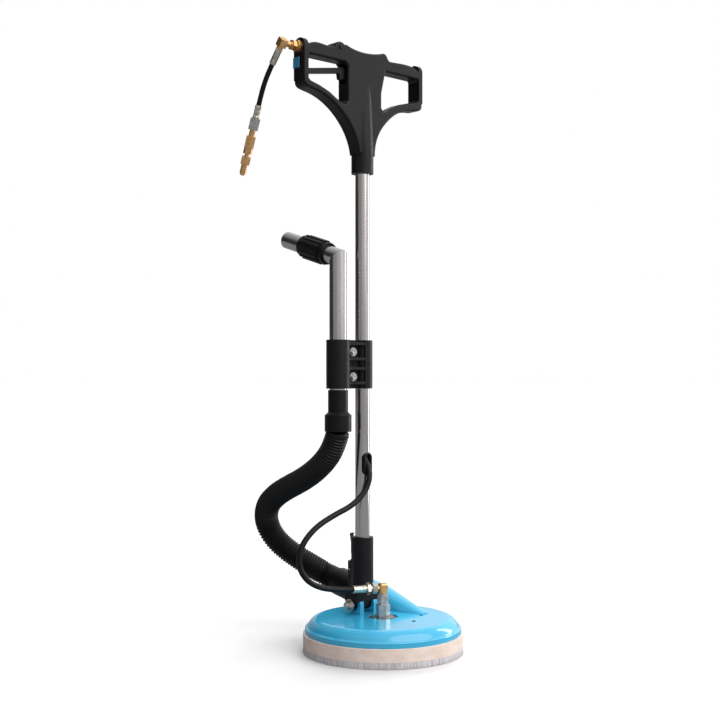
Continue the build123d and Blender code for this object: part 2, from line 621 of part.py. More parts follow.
# ---------------------------------------------------------------- clamp that ties the tube to the pole
CLAMP_LOW, CLAMP_HIGH = 574.0, 681.0
CLAMP_H = CLAMP_HIGH - CLAMP_LOW
SCREW_X = -34.5
SCREW_ZS = (600.0, 655.0)
RIBS = ((583.3, 589.3), (615.4, 621.4), (636.4, 642.4), (670.0, 676.0))
for name, side in (("clamp_front", -1), ("clamp_rear", 1)):
    with BuildPart() as clamp:
        with Locations((TUBE_X, POLE_Y, CLAMP_LOW)):
            Cylinder(26, CLAMP_H, align=(Align.CENTER, Align.CENTER, Align.MIN))
        with Locations((0, POLE_Y, CLAMP_LOW)):
            Cylinder(22.5, CLAMP_H, align=(Align.CENTER, Align.CENTER, Align.MIN))
        with Locations((0, POLE_Y, CLAMP_LOW)):
            with BuildSketch(Plane.XY.offset(CLAMP_LOW)):
                with Locations((-10 - 12, POLE_Y)):
                    Rectangle(24, 60)
                with Locations((0, POLE_Y)):
                    Circle(18.9, mode=Mode.SUBTRACT)
                with Locations((TUBE_X, POLE_Y)):
                    Circle(26, mode=Mode.SUBTRACT)
            extrude(amount=CLAMP_H, mode=Mode.SUBTRACT)
        with Locations((-36, POLE_Y, CLAMP_LOW)):
            Box(50, 12, CLAMP_H, align=(Align.CENTER, Align.CENTER, Align.MIN))
        for low, high in RIBS:
            with BuildSketch(Plane.XY.offset(low)):
                Polygon(
                    (-64, POLE_Y - 21.5), (-50, POLE_Y - 20.6), (-8, POLE_Y - 20.6), (-8, POLE_Y + 20.6),
                    (-50, POLE_Y + 20.6), (-64, POLE_Y + 21.5), align=None,
                )
            extrude(amount=high - low)
        with Locations((TUBE_X, POLE_Y, CLAMP_LOW - 5)):
            Cylinder(TUBE_R, CLAMP_H + 10, align=(Align.CENTER, Align.CENTER, Align.MIN), mode=Mode.SUBTRACT)
        with Locations((0, POLE_Y, CLAMP_LOW - 5)):
            Cylinder(POLE_R, CLAMP_H + 10, align=(Align.CENTER, Align.CENTER, Align.MIN), mode=Mode.SUBTRACT)
        for height in SCREW_ZS:
            with BuildSketch(along_y(POLE_Y, SCREW_X, height)):
                Circle(3.0)
            extrude(amount=40, both=True, mode=Mode.SUBTRACT)
        if side < 0:
            with Locations((SCREW_X, POLE_Y - 6, 628.9)):
                Box(7, 3, 7, mode=Mode.SUBTRACT)
            with BuildSketch(along_y(POLE_Y, -2.5, 628.9)):
                Circle(1.6)
            extrude(amount=40, mode=Mode.SUBTRACT)
        with Locations((-36, POLE_Y + side * -50, 628)):
            Box(200, 100.5, 140, mode=Mode.SUBTRACT)
    save(clamp.part, name)

with BuildPart() as clamp_screws:
    for height in SCREW_ZS:
        with BuildSketch(along_y(POLE_Y + 12, SCREW_X, height)):
            Circle(3.0)
        extrude(amount=19.6)
        with BuildSketch(along_y(POLE_Y - 7.6, SCREW_X, height)):
            Circle(6.8)
        extrude(amount=4.4)
        with BuildSketch(along_y(POLE_Y - 10.4, SCREW_X, height)):
            RegularPolygon(3.0, 6)
        extrude(amount=2, mode=Mode.SUBTRACT)
save(clamp_screws.part, "clamp_screws")

with BuildPart() as clamp_washers:
    for height in SCREW_ZS:
        with BuildSketch(along_y(POLE_Y - 6, SCREW_X, height)):
            Circle(9.5)
            Circle(3.0, mode=Mode.SUBTRACT)
        extrude(amount=1.6)
save(clamp_washers.part, "clamp_washers")

with BuildPart() as clamp_nuts:
    for height in SCREW_ZS:
        with BuildSketch(along_y(POLE_Y + 11, SCREW_X, height)):
            RegularPolygon(5.0, 6, major_radius=False)
            Circle(3.0, mode=Mode.SUBTRACT)
        extrude(amount=5)
save(clamp_nuts.part, "clamp_nuts")

# ---------------------------------------------------------------- handle shells
OUTLINE_LOW_LEFT = [
    (LEFT_X, 1229), (LEFT_X + 4, 1220), (-166, 1215), (-140, 1210), (-112, 1200), (-85, 1184), (-60, 1162),
    (-42, 1139), (-30, 1115), (-24, 1092),
]
OUTLINE_LOW_RIGHT = [
    (24, 1092), (26, 1112), (34, 1137), (49, 1160), (70, 1181), (95, 1198), (122, 1208), (150, 1213),
]
LEFT_OPENING = [
    (-112, 1216.5), (-140, 1226), (-164, 1231.5), (-173, 1238), (-173, GRIP_BOTTOM - 3),
    (-170, GRIP_BOTTOM), (-66, GRIP_BOTTOM + 1), (-58, 1279), (-58, 1206), (-63, 1198), (-71, 1196),
    (-89, 1204),
]
RIGHT_OPENING = [
    (57, GRIP_BOTTOM), (157, GRIP_BOTTOM), (163, 1281), (163, 1240), (157, 1234), (134, 1229), (101, 1220),
    (76, 1208), (60, 1197), (50, 1196), (44, 1204), (44, 1235), (49, 1256),
]

for name, side in (("handle_front", 1), ("handle_rear", -1)):
    with BuildPart() as shell:
        with BuildSketch(FRONT_PLANE):
            with BuildLine():
                Spline(*OUTLINE_LOW_LEFT)
                Line((-24, 1092), (24, 1092))
                Spline(*OUTLINE_LOW_RIGHT)
                Spline((150, 1213), (166, 1215.5), (RIGHT_X, 1226), tangents=((1, 0.02), (0, 1)))
                Polyline((RIGHT_X, 1226), (RIGHT_X, POST_DOME_Z + 2), (163, POST_DOME_Z + 2))
                Spline((163, POST_DOME_Z + 2), (148, 1312), (122, GRIP_TOP), (94, GRIP_TOP - 1), (72, 1313))
                Spline((72, 1313), (64, 1318), (59, 1325), (50, 1327.5), tangents=((-1, 0.1), (-1, -0.2)))
                Spline((50, 1327.5), (30, 1322.5), (0, 1319), (-35, 1320.5), (-62, 1327))
                Spline(
                    (-62, 1327), (-90, 1319), (-112, GRIP_TOP), (-140, GRIP_TOP + 1.5),
                    (-160, GRIP_TOP - 1), (-172, POST_DOME_Z + 4),
                )
                Polyline((-172, POST_DOME_Z + 4), (LEFT_X, POST_DOME_Z + 4), (LEFT_X, 1229))
            make_face()
            with BuildLine():
                Polyline(*LEFT_OPENING, close=True)
            make_face(mode=Mode.SUBTRACT)
            with BuildLine():
                Polyline(*RIGHT_OPENING, close=True)
            make_face(mode=Mode.SUBTRACT)
            with Locations((-79, 1312)):
                Circle(18)
        extrude(amount=side * HANDLE_HALF)
        rim = shell.faces().filter_by(Axis.Y).sort_by(Axis.Y)[0 if side > 0 else -1].edges()
        fillet(rim, 5.0)
        # end posts with domed tops
        for post in (LEFT_X, RIGHT_X - POST_T):
            with BuildSketch(along_x(post, POLE_Y, 0)):
                with Locations((0, POST_DOME_Z)):
                    Circle(HANDLE_HALF)
                with Locations((0, (1232 + POST_DOME_Z) / 2)):
                    Rectangle(2 * HANDLE_HALF, POST_DOME_Z - 1232)
            extrude(amount=POST_T)
        # round socket for the pole and the rib that runs up from it
        with Locations((0, POLE_Y, HANDLE_SOCKET_BOTTOM)):
            Cylinder(HANDLE_SOCKET_R, 58, align=(Align.CENTER, Align.CENTER, Align.MIN))
        with BuildSketch(Plane.XY.offset(HANDLE_SOCKET_BOTTOM + 50)):
            with Locations((0, POLE_Y)):
                Circle(HANDLE_SOCKET_R)
        with BuildSketch(Plane.XY.offset(1258)):
            with Locations((0, POLE_Y)):
                Ellipse(22, HANDLE_HALF - 0.2)
        loft(ruled=True)
        # keep one half of the round parts
        with Locations((0, POLE_Y - side * -50, 1200)):
            Box(500, 100, 400, mode=Mode.SUBTRACT)
        # bore for the pole, cavity for the valve, channels for the water line
        with Locations((0, POLE_Y, HANDLE_SOCKET_BOTTOM)):
            Cylinder(
                POLE_R, POLE_TOP - HANDLE_SOCKET_BOTTOM, align=(Align.CENTER, Align.CENTER, Align.MIN),
                mode=Mode.SUBTRACT,
            )
        with BuildLine() as channel:
            FilletPolyline(
                (STEM_X, POLE_Y, 1204), (STEM_X, POLE_Y, 1172), (0, POLE_Y, 1120), (0, POLE_Y, 1090),
                radius=bend_radii([(STEM_X, 0, 1204), (STEM_X, 0, 1172), (0, 0, 1120), (0, 0, 1090)]),
            )
        with BuildSketch(across(channel.line @ 0, channel.line % 0)):
            Circle(8.0)
        sweep(path=channel.line, mode=Mode.SUBTRACT)
        with Locations((-6, POLE_Y, 1254)):
            Box(92, 28, 108, mode=Mode.SUBTRACT)
        with Locations((-55, POLE_Y, 1266)):
            Box(20, 17, 42, mode=Mode.SUBTRACT)
        with Locations((-112.5, POLE_Y, INLET_Z - 1)):
            Box(121, 20, 14, mode=Mode.SUBTRACT)
        with Locations((112, POLE_Y, 1301)):
            Box(88, 20, 14, mode=Mode.SUBTRACT)
        with BuildSketch(along_x(LEFT_X - 1, POLE_Y, INLET_Z)):
            Circle(6.5)
        extrude(amount=20, mode=Mode.SUBTRACT)
        # slot for the free end of the trigger, and slot for the lock tab
        with Locations((-176, POLE_Y, 1263)):
            Box(6.2, 13, 38, mode=Mode.SUBTRACT)
        with Locations((LEFT_X, POLE_Y + 4.0, 1269.5)):
            Box(6.0, 20, 12, mode=Mode.SUBTRACT)
        # pivot pin and screw holes
        with BuildSketch(along_y(POLE_Y, PIVOT_X, PIVOT_Z)):
            Circle(3.0)
        extrude(amount=16, both=True, mode=Mode.SUBTRACT)
        with BuildSketch(along_y(POLE_Y, 0, 0)):
            with Locations((-79, 1318)):
                Circle(2.2)
        extrude(amount=30, both=True, mode=Mode.SUBTRACT)
        with BuildSketch(along_y(POLE_Y, 0, 0)):
            with Locations((52, 1316), (-148, 1219.5), (134, 1219), (55, 1180), (-62, 1180)):
                Circle(2.2)
        extrude(amount=-30 if side < 0 else 14, mode=Mode.SUBTRACT)
    save(shell.part, name)

with BuildPart() as handle_screws:
    with BuildSketch(along_y(POLE_Y + 12, 0, 0)):
        with Locations((-79, 1318)):
            Circle(2.2)
    extrude(amount=12 + HANDLE_HALF)
    with BuildSketch(along_y(POLE_Y - HANDLE_HALF, 0, 0)):
        with Locations((-79, 1318)):
            Circle(5.0)
    extrude(amount=2.4)
    with BuildSketch(along_y(POLE_Y - HANDLE_HALF - 1.0, -79, 1318)):
        Rectangle(6.5, 1.2)
        Rectangle(1.2, 6.5)
    extrude(amount=3, mode=Mode.SUBTRACT)
    with BuildSketch(along_y(POLE_Y + HANDLE_HALF, 0, 0)):
        with Locations((52, 1316), (-148, 1219.5), (134, 1219), (55, 1180), (-62, 1180)):
            Circle(2.2)
    extrude(amount=12 + HANDLE_HALF)
    with BuildSketch(along_y(POLE_Y + HANDLE_HALF + 2.2, 0, 0)):
        with Locations((52, 1316), (-148, 1219.5), (134, 1219), (55, 1180), (-62, 1180)):
            Circle(4.2)
    extrude(amount=2.2)
save(handle_screws.part, "handle_screws")

# ---------------------------------------------------------------- trigger and valve
with BuildPart() as trigger:
    with BuildSketch(along_y(POLE_Y + 5.5, 0, 0)):
        with BuildLine():
            Polyline(
                (-176.5, 1248), (-176.5, 1257.4), (-75, 1275.6), (-62, 1279), (PIVOT_X, PIVOT_Z + 6.5),
                (PIVOT_X + 6, PIVOT_Z + 4), (PIVOT_X + 10, PIVOT_Z + 3), (PIVOT_X + 10, PIVOT_Z - 3),
                (PIVOT_X + 6, PIVOT_Z - 3), (PIVOT_X, PIVOT_Z - 6.5), (-56, 1256), (-67, 1251), (-72, 1252),
                (-74, 1264), (-160, 1249), (-170, 1246.6), (-176.5, 1248),
            )
        make_face()
        with Locations((PIVOT_X, PIVOT_Z)):
            Circle(6.5)
        with Locations((PIVOT_X + 10, PIVOT_Z)):
            Circle(3.0)
    extrude(amount=11)
    fillet(trigger.edges().filter_by(Axis.Y).group_by(Axis.X)[0], 2.0)
    with BuildSketch(along_y(POLE_Y + 10, PIVOT_X, PIVOT_Z)):
        Circle(3.05)
    extrude(amount=20, mode=Mode.SUBTRACT)
save(trigger.part, "trigger")

with BuildPart() as trigger_pin:
    with BuildSketch(along_y(POLE_Y + 15.8, PIVOT_X, PIVOT_Z)):
        Circle(3.0)
    extrude(amount=31.6)
save(trigger_pin.part, "trigger_pin")

with BuildPart() as safety_tab:
    with Locations((LEFT_X - 0.1, POLE_Y + 8.6, 1269.5)):
        Box(2.2, 19.6, 22.5, align=(Align.MAX, Align.CENTER, Align.CENTER))
    fillet(safety_tab.edges().group_by(Axis.X)[0], 0.9)
    with Locations((LEFT_X - 0.1, POLE_Y + 9.5, 1269.5)):
        Box(2.9, 8, 11.4, align=(Align.MIN, Align.CENTER, Align.CENTER))
save(safety_tab.part, "safety_tab")

VALVE_TOP = 1252.0
STEM_TOP = PIVOT_Z - 3.05
with BuildPart() as valve_body:
    with Locations((STEM_X, POLE_Y, 1200)):
        Box(24, 22, VALVE_TOP - 1200, align=(Align.CENTER, Align.CENTER, Align.MIN))
    chamfer(valve_body.edges().filter_by(Axis.Z), 2)
    with Locations((STEM_X, POLE_Y, 1226)):
        Cylinder(3.05, 40, align=(Align.CENTER, Align.CENTER, Align.MIN), mode=Mode.SUBTRACT)
save(valve_body.part, "valve_body")

with BuildPart() as valve_stem:
    with Locations((STEM_X, POLE_Y, 1230)):
        Cylinder(3.0, STEM_TOP - 1230, align=(Align.CENTER, Align.CENTER, Align.MIN))
    with Locations((STEM_X, POLE_Y, STEM_TOP - 3)):
        Cylinder(4.9, 1.6, align=(Align.CENTER, Align.CENTER, Align.MIN))
save(valve_stem.part, "valve_stem")

SPRING_LOW, SPRING_HIGH = VALVE_TOP, STEM_TOP - 3.0
with BuildPart() as valve_spring:
    with BuildLine() as coil:
        Helix(pitch=(SPRING_HIGH - SPRING_LOW - 1.2) / 4, height=SPRING_HIGH - SPRING_LOW - 1.2, radius=4.6,
              center=(STEM_X, POLE_Y, SPRING_LOW + 0.6))
    with BuildSketch(across(coil.line @ 0, coil.line % 0, (0, 0, 1))):
        Circle(0.55)
    sweep(path=coil.line, is_frenet=True)
save(valve_spring.part, "valve_spring")

with BuildPart() as handle_feed_tube:
    with BuildLine() as line_path:
        FilletPolyline(
            (-170, POLE_Y, INLET_Z), (-8, POLE_Y, INLET_Z), (-8, POLE_Y, 1216), (STEM_X + 12, POLE_Y, 1216), radius=8,
        )
    with BuildSketch(across(line_path.line @ 0, line_path.line % 0, (0, 0, 1))):
        Circle(4.0)
        Circle(2.8, mode=Mode.SUBTRACT)
    sweep(path=line_path.line)
save(handle_feed_tube.part, "handle_feed_tube")

# ---------------------------------------------------------------- inlet fittings and whip hose
with BuildPart() as inlet_adaptor:
    with BuildSketch(along_x(LEFT_X, POLE_Y, INLET_Z)):
        RegularPolygon(11.5, 6, major_radius=False)
    extrude(amount=-10)
    with BuildSketch(along_x(LEFT_X - 10, POLE_Y, INLET_Z)):
        Circle(8.4)
    extrude(amount=-4)
    with BuildSketch(along_x(LEFT_X, POLE_Y, INLET_Z)):
        Circle(6.5)
    extrude(amount=14)
save(inlet_adaptor.part, "inlet_adaptor")

with BuildPart() as inlet_nut:
    with BuildSketch(along_x(LEFT_X - 14, POLE_Y, INLET_Z)):
        RegularPolygon(10.0, 6, major_radius=False, rotation=20)
    extrude(amount=-8)
    with BuildSketch(along_x(LEFT_X - 22, POLE_Y, INLET_Z)):
        Circle(7.6)
    extrude(amount=-4)
save(inlet_nut.part, "inlet_nut")

whip_dir = Vector(0, sin(radians(40)), -cos(radians(40)))
elbow_at = Vector(ELBOW_X, POLE_Y, INLET_Z)
with BuildPart() as inlet_elbow:
    with BuildSketch(along_x(LEFT_X - 26, POLE_Y, INLET_Z)):
        Circle(6.6)
    extrude(amount=-14)
    with BuildSketch(across(elbow_at - whip_dir * 9, whip_dir)):
        RectangleRounded(18, 18, 3)
    extrude(amount=18)
    with BuildSketch(across(elbow_at + whip_dir * 9, whip_dir)):
        Circle(6.6)
    extrude(amount=4)
save(inlet_elbow.part, "inlet_elbow")

with BuildPart() as whip_ferrule_top:
    with BuildSketch(across(elbow_at + whip_dir * 13, whip_dir)):
        RegularPolygon(6.8, 6, major_radius=False)
    extrude(amount=9)
    with BuildSketch(across(elbow_at + whip_dir * 22, whip_dir)):
        Circle(7.2)
    extrude(amount=28)
save(whip_ferrule_top.part, "whip_ferrule_top")

WHIP_R = 5.4
whip_start = elbow_at + whip_dir * 50
whip_points = [
    tuple(whip_start), tuple(whip_start + whip_dir * 24), (ELBOW_X, 128, 1223), (ELBOW_X, 139, 1199),
    (ELBOW_X, 145.5, 1183),
]
whip_end = Vector(*whip_points[-1])
whip_radii = bend_radii(whip_points)
print("whip hose radii", [round(r) for r in whip_radii])
with BuildPart() as whip_hose:
    with BuildLine() as whip_path:
        FilletPolyline(*whip_points, radius=whip_radii)
    with BuildSketch(across(whip_path.line @ 0, whip_path.line % 0)):
        Circle(WHIP_R)
    sweep(path=whip_path.line)
save(whip_hose.part, "whip_hose")
tell_sweep("whip hose", whip_hose.part, whip_path, WHIP_R)

low_dir = (Vector(*whip_points[-1]) - Vector(*whip_points[-2])).normalized()
with BuildPart() as whip_ferrule_low:
    with BuildSketch(across(whip_end, low_dir)):
        Circle(7.2)
    extrude(amount=28)
save(whip_ferrule_low.part, "whip_ferrule_low")

with BuildPart() as whip_nut:
    with BuildSketch(across(whip_end + low_dir * 28, low_dir)):
        RegularPolygon(10.0, 6, major_radius=False)
    extrude(amount=25.5)
    chamfer(whip_nut.edges().group_by(Axis.Z)[0], 0.8)
save(whip_nut.part, "whip_nut")

with BuildPart() as whip_adaptor:
    with BuildSketch(across(whip_end + low_dir * 53.5, low_dir)):
        Circle(6.4)
    extrude(amount=14)
    with BuildSketch(across(whip_end + low_dir * 67.5, low_dir)):
        RegularPolygon(9.5, 6, major_radius=False)
    extrude(amount=25.5)
save(whip_adaptor.part, "whip_adaptor")

with BuildPart() as coupler_ring:
    with BuildSketch(across(whip_end + low_dir * 93, low_dir)):
        Circle(9.6)
    extrude(amount=13)
    with BuildSketch(across(whip_end + low_dir * 106, low_dir)):
        Circle(5.0)
    extrude(amount=6)
save(coupler_ring.part, "coupler_ring")

with BuildPart() as coupler_plug:
    with BuildSketch(across(whip_end + low_dir * 112, low_dir)):
        RegularPolygon(9.2, 6, major_radius=False)
    extrude(amount=18)
    with BuildSketch(across(whip_end + low_dir * 130, low_dir)):
        Circle(6.9)
    extrude(amount=20)
    with BuildSketch(across(whip_end + low_dir * 150, low_dir)):
        Circle(5.2)
    extrude(amount=4)
save(coupler_plug.part, "coupler_plug")
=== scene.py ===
import math
import random

import bpy
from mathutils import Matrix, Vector


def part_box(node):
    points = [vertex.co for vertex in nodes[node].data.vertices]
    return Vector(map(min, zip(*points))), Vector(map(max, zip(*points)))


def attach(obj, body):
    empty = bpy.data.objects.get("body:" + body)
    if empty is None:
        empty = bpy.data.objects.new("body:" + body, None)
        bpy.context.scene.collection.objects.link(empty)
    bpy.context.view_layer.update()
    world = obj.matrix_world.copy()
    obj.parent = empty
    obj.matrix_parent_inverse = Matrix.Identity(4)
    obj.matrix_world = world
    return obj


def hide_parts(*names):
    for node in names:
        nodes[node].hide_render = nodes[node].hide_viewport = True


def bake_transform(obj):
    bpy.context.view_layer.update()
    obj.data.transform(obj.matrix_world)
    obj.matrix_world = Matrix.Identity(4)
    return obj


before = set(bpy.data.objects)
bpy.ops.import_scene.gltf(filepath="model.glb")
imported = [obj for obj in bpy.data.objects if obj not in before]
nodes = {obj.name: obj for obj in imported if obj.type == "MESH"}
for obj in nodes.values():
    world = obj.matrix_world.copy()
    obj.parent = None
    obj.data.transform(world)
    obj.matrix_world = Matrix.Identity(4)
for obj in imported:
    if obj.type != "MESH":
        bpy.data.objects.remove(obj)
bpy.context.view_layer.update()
random.seed(7)


# ------------------------------------------------------------ camera
# A level camera at chest height, turned to the machine's left front; the lens is shifted up, not tilted.
CAMERA_PLACE = (-1.8300, -1.8886, 0.604)
CAMERA_YAW = math.radians(-43.0)

camera_data = bpy.data.cameras.new("camera")
camera_data.lens = 60.0
camera_data.sensor_width = 36.0
camera_data.shift_y = 0.0208
camera = bpy.data.objects.new("camera", camera_data)
bpy.context.collection.objects.link(camera)
camera.location = CAMERA_PLACE
camera.rotation_euler = (math.radians(90.0), 0.0, CAMERA_YAW)
bpy.context.scene.camera = camera
bpy.context.scene.view_settings.view_transform = "Standard"


# ------------------------------------------------------------ lights
def area_light(name, place, target, size, power, colour):
    """A rectangular lamp at a place, turned to a target."""
    data = bpy.data.lights.new(name, "AREA")
    data.shape = "RECTANGLE"
    data.size, data.size_y = size
    data.energy = power
    data.color = colour
    lamp = bpy.data.objects.new(name, data)
    bpy.context.collection.objects.link(lamp)
    lamp.location = place
    lamp.rotation_euler = (Vector(target) - Vector(place)).to_track_quat("-Z", "Y").to_euler()


def sun(name, toward, power, spread, colour, mirrored):
    """Even light from far away, shining along a direction; mirrored says if shiny surfaces reflect it."""
    data = bpy.data.lights.new(name, "SUN")
    data.energy = power
    data.angle = math.radians(spread)
    data.color = colour
    lamp = bpy.data.objects.new(name, data)
    bpy.context.collection.objects.link(lamp)
    lamp.rotation_euler = Vector(toward).to_track_quat("-Z", "Y").to_euler()
    lamp.visible_glossy = mirrored


sun("back", (-0.56, -0.70, -0.74), 2.2, 44, (1.0, 0.99, 0.97), False)
sun("key", (-0.10, 0.80, -0.62), 1.8, 60, (1.0, 0.99, 0.98), True)
sun("fill", (0.80, 0.35, -0.40), 0.6, 90, (0.98, 0.99, 1.0), True)
area_light("window", (2.6, -0.6, 1.1), (0, 0, 0.7), (0.5, 2.2), 22, (1.0, 0.99, 0.97))

# The room is bright on the right and overhead, and dark on the left and behind the camera.
# Only reflections and bounced light meet it: the camera sees plain white.
BRIGHT_SIDE = (0.45, -0.25, 0.30)
ROOM_STRENGTH = 1.15
ROOM_LEVELS = ((0.24, 0.05), (0.36, 0.24), (0.60, 0.50), (0.80, 0.85))
DARKEST, BRIGHTEST = (0.03, 0.03, 0.03, 1), (1, 1, 1, 1)
BLUE_SHARE = 1.02


def room():
    """The world: a soft ramp of light across the room, with white behind the machine."""
    world = bpy.data.worlds.new("studio")
    bpy.context.scene.world = world
    world.use_nodes = True
    tree = world.node_tree
    tree.nodes.clear()
    out = tree.nodes.new("ShaderNodeOutputWorld")
    lit = tree.nodes.new("ShaderNodeBackground")
    coord = tree.nodes.new("ShaderNodeTexCoord")
    across = tree.nodes.new("ShaderNodeVectorMath")
    across.operation = "DOT_PRODUCT"
    across.inputs[1].default_value = BRIGHT_SIDE
    tree.links.new(coord.outputs["Generated"], across.inputs[0])
    middle = tree.nodes.new("ShaderNodeMath")
    middle.operation = "ADD"
    middle.inputs[1].default_value = 0.5
    tree.links.new(across.outputs["Value"], middle.inputs[0])
    levels = tree.nodes.new("ShaderNodeValToRGB")
    ramp = levels.color_ramp
    ramp.elements[0].position, ramp.elements[1].position = 0.0, 1.0
    for place, level in ROOM_LEVELS:
        ramp.elements.new(place).color = (level, level, level * BLUE_SHARE, 1)
    ramp.elements[0].color = DARKEST
    ramp.elements[len(ramp.elements) - 1].color = BRIGHTEST
    tree.links.new(middle.outputs[0], levels.inputs["Fac"])
    tree.links.new(levels.outputs["Color"], lit.inputs["Color"])
    lit.inputs["Strength"].default_value = ROOM_STRENGTH
    white = tree.nodes.new("ShaderNodeBackground")
    white.inputs["Color"].default_value = (1, 1, 1, 1)
    path = tree.nodes.new("ShaderNodeLightPath")
    mix = tree.nodes.new("ShaderNodeMixShader")
    tree.links.new(path.outputs["Is Camera Ray"], mix.inputs["Fac"])
    tree.links.new(lit.outputs[0], mix.inputs[1])
    tree.links.new(white.outputs[0], mix.inputs[2])
    tree.links.new(mix.outputs[0], out.inputs["Surface"])


room()


# ------------------------------------------------------------ materials
COAT_ROUGHNESS = 0.06
# The stretch of each noise's 0 to 1 over which the tone and the roughness run from one end to the other.
TONE_ENDS = (0.32, 0.68)
ROUGH_ENDS = (0.3, 0.7)


def lin(r, g, b):
    """An sRGB colour, 0 to 255, as linear values with full alpha."""
    levels = []
    for c in (r, g, b):
        levels.append(((c / 255 + 0.055) / 1.055) ** 2.4 if c > 10 else c / 255 / 12.92)
    return (*levels, 1.0)


def material(name, dark, light, rough, mottle, rough_scale, grain=None, metallic=0.0, stretch=(1, 1, 1),
             coat=0.0, specular=0.5, anisotropic=0.0):
    """A principled surface whose colour drifts between two tones, with uneven roughness and a fine relief.

    mottle and rough_scale are the scales of the tone's and the roughness's noise. rough is the least and the
    most roughness, and grain is the relief's scale, depth and strength.
    """
    made = bpy.data.materials.new(name)
    made.use_nodes = True
    tree = made.node_tree
    shader = tree.nodes["Principled BSDF"]
    shader.inputs["Metallic"].default_value = metallic
    shader.inputs["Coat Weight"].default_value = coat
    shader.inputs["Coat Roughness"].default_value = COAT_ROUGHNESS
    shader.inputs["Specular IOR Level"].default_value = specular
    shader.inputs["Anisotropic"].default_value = anisotropic
    coord = tree.nodes.new("ShaderNodeTexCoord")
    mapping = tree.nodes.new("ShaderNodeMapping")
    mapping.inputs["Scale"].default_value = stretch
    tree.links.new(coord.outputs["Object"], mapping.inputs["Vector"])

    def noise(scale, detail):
        texture = tree.nodes.new("ShaderNodeTexNoise")
        texture.inputs["Scale"].default_value = scale
        texture.inputs["Detail"].default_value = detail
        tree.links.new(mapping.outputs["Vector"], texture.inputs["Vector"])
        return texture.outputs["Fac"]

    tone = tree.nodes.new("ShaderNodeValToRGB")
    tone.color_ramp.elements[0].position, tone.color_ramp.elements[1].position = TONE_ENDS
    tone.color_ramp.elements[0].color = dark
    tone.color_ramp.elements[1].color = light
    tree.links.new(noise(mottle, 5.0), tone.inputs["Fac"])
    tree.links.new(tone.outputs["Color"], shader.inputs["Base Color"])
    spread = tree.nodes.new("ShaderNodeMapRange")
    spread.inputs["From Min"].default_value, spread.inputs["From Max"].default_value = ROUGH_ENDS
    spread.inputs["To Min"].default_value, spread.inputs["To Max"].default_value = rough
    tree.links.new(noise(rough_scale, 4.0), spread.inputs["Value"])
    tree.links.new(spread.outputs["Result"], shader.inputs["Roughness"])
    if grain:
        scale, depth, strength = grain
        bump = tree.nodes.new("ShaderNodeBump")
        bump.inputs["Distance"].default_value = depth
        bump.inputs["Strength"].default_value = strength
        tree.links.new(noise(scale, 3.0), bump.inputs["Height"])
        tree.links.new(bump.outputs["Normal"], shader.inputs["Normal"])
    return made


blue = material("hood_blue", lin(52, 163, 202), lin(60, 173, 214), (0.10, 0.2), mottle=9, rough_scale=26,
                grain=(160, 0.0003, 0.10), coat=0.3)
cream = material("band_cream", lin(220, 200, 187), lin(234, 217, 206), (0.42, 0.6), mottle=30, rough_scale=70,
                 grain=(500, 0.0002, 0.25), stretch=(1, 1, 2.4))
fibre = material("bristle_fibre", lin(172, 168, 172), lin(220, 217, 220), (0.5, 0.75), mottle=420,
                 rough_scale=300, grain=(900, 0.0003, 0.5), stretch=(1, 1, 0.05))
black = material("moulded_black", lin(8, 8, 11), lin(13, 13, 17), (0.34, 0.48), mottle=24, rough_scale=90,
                 grain=(1300, 0.00025, 0.5), specular=0.22)
smooth_black = material("smooth_black", lin(6, 6, 7), lin(11, 11, 12), (0.3, 0.44), mottle=18, rough_scale=60,
                        grain=(700, 0.0002, 0.25), specular=0.2)
hose_black = material("hose_black", lin(4, 4, 4), lin(8, 8, 8), (0.3, 0.46), mottle=40, rough_scale=120,
                      grain=(900, 0.0002, 0.3), specular=0.2)
rubber = material("rubber_black", lin(5, 5, 6), lin(10, 10, 11), (0.38, 0.55), mottle=60, rough_scale=160,
                  grain=(1500, 0.00018, 0.5), specular=0.25)
steel = material("tube_steel", lin(168, 164, 163), lin(196, 193, 191), (0.14, 0.25), metallic=1.0, mottle=14,
                 rough_scale=60, grain=(240, 0.0002, 0.12), stretch=(1, 1, 0.12), anisotropic=0.25)
zinc = material("zinc_plate", lin(176, 172, 170), lin(212, 208, 202), (0.26, 0.42), metallic=1.0, mottle=120,
                rough_scale=180, grain=(600, 0.0002, 0.12))
crimp = material("crimped_steel", lin(178, 172, 156), lin(222, 216, 204), (0.24, 0.4), metallic=1.0,
                 mottle=150, rough_scale=220, grain=(700, 0.0002, 0.12))
brass = material("brass", lin(216, 164, 104), lin(238, 194, 136), (0.28, 0.42), metallic=1.0, mottle=140,
                 rough_scale=190, grain=(650, 0.0002, 0.12))
alloy = material("cast_alloy", lin(120, 118, 118), lin(168, 166, 164), (0.3, 0.5), metallic=1.0, mottle=90,
                 rough_scale=150, grain=(500, 0.0003, 0.4))
dark_steel = material("dark_steel", lin(44, 44, 47), lin(66, 66, 70), (0.34, 0.5), metallic=1.0, mottle=90,
                      rough_scale=160, grain=(800, 0.0002, 0.3))
dark_rivet = material("dark_rivet", lin(16, 40, 52), lin(28, 54, 66), (0.3, 0.45), mottle=90, rough_scale=150,
                      grain=(900, 0.0002, 0.3))
tab_blue = material("tab_blue", lin(44, 120, 156), lin(62, 140, 172), (0.3, 0.45), mottle=40, rough_scale=100,
                    grain=(900, 0.0002, 0.3))


def paint(made, *names):
    """Give one material to every slot of these nodes."""
    for name in names:
        obj = nodes[name]
        if not obj.material_slots:
            obj.data.materials.append(made)
        for place in obj.material_slots:
            place.material = made


